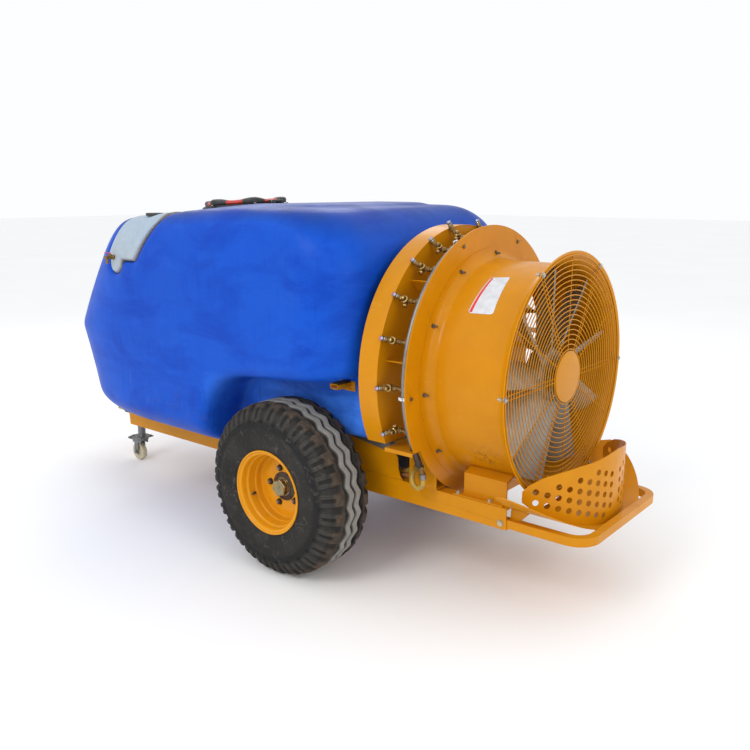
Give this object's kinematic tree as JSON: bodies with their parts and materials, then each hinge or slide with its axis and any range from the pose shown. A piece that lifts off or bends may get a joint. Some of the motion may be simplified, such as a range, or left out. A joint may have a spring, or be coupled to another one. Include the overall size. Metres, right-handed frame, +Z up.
{
  "type": "trailed orchard sprayer cart",
  "caption": "Two-wheeled trailed mist sprayer: moulded tank on a beam frame, belt-driven axial fan in a duct with an annular outlet, nozzle arcs, tow eye and support caster.",
  "frame": {"origin": "on the ground, in the middle plane, midway between the tow eye and the rear bumper", "axes": "+X towards the fan, -X towards the tow eye, +Z up, -Y the left side seen from the towing vehicle"},
  "size_m": [3.32, 1.384, 1.4799],
  "materials": {
    "amber_paint": "glossy amber enamel, lightly scuffed",
    "zinc_steel": "zinc plated, satin",
    "grey_steel": "plain rolled steel, dull",
    "dark_steel": "blackened steel, oily",
    "rubber_mat": "matt black sheet rubber",
    "tyre_rubber": "dusty black rubber",
    "belt_rubber": "matt black",
    "fan_grey": "pale grey cast blades, dull",
    "black_plastic": "satin black",
    "red_plastic": "satin red",
    "pump_red": "red enamel on castings",
    "brass": "machined brass, darkened",
    "tip_steel": "nickel plated",
    "pipe_grey": "stainless pipe, dull",
    "hose_yellow": "smooth yellow hose",
    "blue_plastic": "rotomoulded polyethylene, satin",
    "wash_plastic": "translucent natural polyethylene",
    "mesh_plastic": "moulded strainer",
    "caster_cream": "cast nylon wheel"
  },
  "bodies": {
    "root": {"chassis_beam_left": "amber_paint", "chassis_beam_right": "amber_paint", "cross_members": "amber_paint", "axle_beam": "grey_steel", "side_plate_left": "amber_paint", "side_plate_right": "amber_paint", "tank_mats": "rubber_mat", "tank_brackets": "amber_paint", "drawbar": "amber_paint", "tow_eye": "zinc_steel", "caster_mount": "zinc_steel", "bumper": "amber_paint", "frame_bolts": "zinc_steel", "rear_pan": "amber_paint", "perforated_guard": "amber_paint", "air_drum": "amber_paint", "outlet_floor": "amber_paint", "outlet_flange": "amber_paint", "fan_duct": "amber_paint", "duct_studs": "zinc_steel", "duct_saddles": "amber_paint", "fan_guard": "amber_paint", "guard_bolts": "zinc_steel", "bearing_housing": "grey_steel", "drive_belt": "belt_rubber", "shaft_bearings": "grey_steel", "pump_body": "pump_red", "pump_heads": "pump_red", "suction_filter": "black_plastic", "pressure_regulator": "brass", "spray_bars": "pipe_grey", "nozzle_bodies": "brass", "nozzle_tips": "tip_steel", "spray_hoses": "hose_yellow", "main_tank": "blue_plastic", "tank_collar": "black_plastic", "strainer_basket": "mesh_plastic", "wash_tank": "wash_plastic", "tap_body": "brass"},
    "wheel_left": {"tyre_left": "tyre_rubber", "rim_left": "amber_paint", "hub_left": "zinc_steel", "wheel_nuts_left": "dark_steel"},
    "wheel_right": {"tyre_right": "tyre_rubber", "rim_right": "amber_paint", "hub_right": "zinc_steel", "wheel_nuts_right": "dark_steel"},
    "caster_swivel": {"caster_fork": "zinc_steel"},
    "caster_roller": {"caster_wheel": "caster_cream"},
    "caster_brake": {"brake_pedal": "zinc_steel"},
    "fan": {"fan_hub": "fan_grey", "fan_blades": "fan_grey", "fan_shaft": "zinc_steel", "upper_pulley": "zinc_steel"},
    "drive_line": {"drive_shaft": "zinc_steel", "lower_pulley": "zinc_steel"},
    "lid": {"tank_lid": "red_plastic"},
    "wash_screw_cap": {"wash_cap": "black_plastic"},
    "tap_handle": {"tap_lever": "red_plastic"},
    "drain_screw_cap": {"drain_cap": "black_plastic"}
  },
  "joints": [
    {"name": "wheel_left_spin", "type": "hinge", "parent": "root", "child": "wheel_left", "pos_m": [0.46, -0.56, 0.355], "axis": [0, 1, 0], "continuous": true},
    {"name": "wheel_right_spin", "type": "hinge", "parent": "root", "child": "wheel_right", "pos_m": [0.46, 0.56, 0.355], "axis": [0, 1, 0], "continuous": true},
    {"name": "caster_swivel_turn", "type": "hinge", "parent": "root", "child": "caster_swivel", "pos_m": [-1.172, -0.12, 0.13], "axis": [0, 0, 1], "continuous": true},
    {"name": "caster_wheel_spin", "type": "hinge", "parent": "caster_swivel", "child": "caster_roller", "pos_m": [-1.2, -0.12, 0.05], "axis": [0, 1, 0], "continuous": true},
    {"name": "brake_pedal_tilt", "type": "hinge", "parent": "caster_swivel", "child": "caster_brake", "pos_m": [-1.222, -0.12, 0.113], "axis": [0, -1, 0], "range_deg": [0, 10]},
    {"name": "fan_spin", "type": "hinge", "parent": "root", "child": "fan", "pos_m": [1.06, 0, 0.84], "axis": [1, 0, 0], "continuous": true},
    {"name": "drive_shaft_spin", "type": "hinge", "parent": "root", "child": "drive_line", "pos_m": [-0.04, 0, 0.47], "axis": [1, 0, 0], "continuous": true},
    {"name": "tank_lid_swing", "type": "hinge", "parent": "root", "child": "lid", "pos_m": [-0.14214, 0, 1.47191], "axis": [0, 1, 0], "range_deg": [0, 110]},
    {"name": "wash_cap_turn", "type": "hinge", "parent": "root", "child": "wash_screw_cap", "pos_m": [-0.385, -0.515, 1.418], "axis": [0, 0, 1], "range_deg": [0, 270]},
    {"name": "tap_lever_turn", "type": "hinge", "parent": "root", "child": "tap_handle", "pos_m": [-0.57, -0.64, 1.245], "axis": [0, 0, 1], "range_deg": [0, 90]},
    {"name": "drain_cap_turn", "type": "hinge", "parent": "root", "child": "drain_screw_cap", "pos_m": [-0.97, -0.333, 0.381], "axis": [1, 0, 0], "range_deg": [0, 270]}
  ],
  "couplings": [
    {"joint": "drive_shaft_spin", "follows": "fan_spin", "ratio": 0.32143}
  ]
}
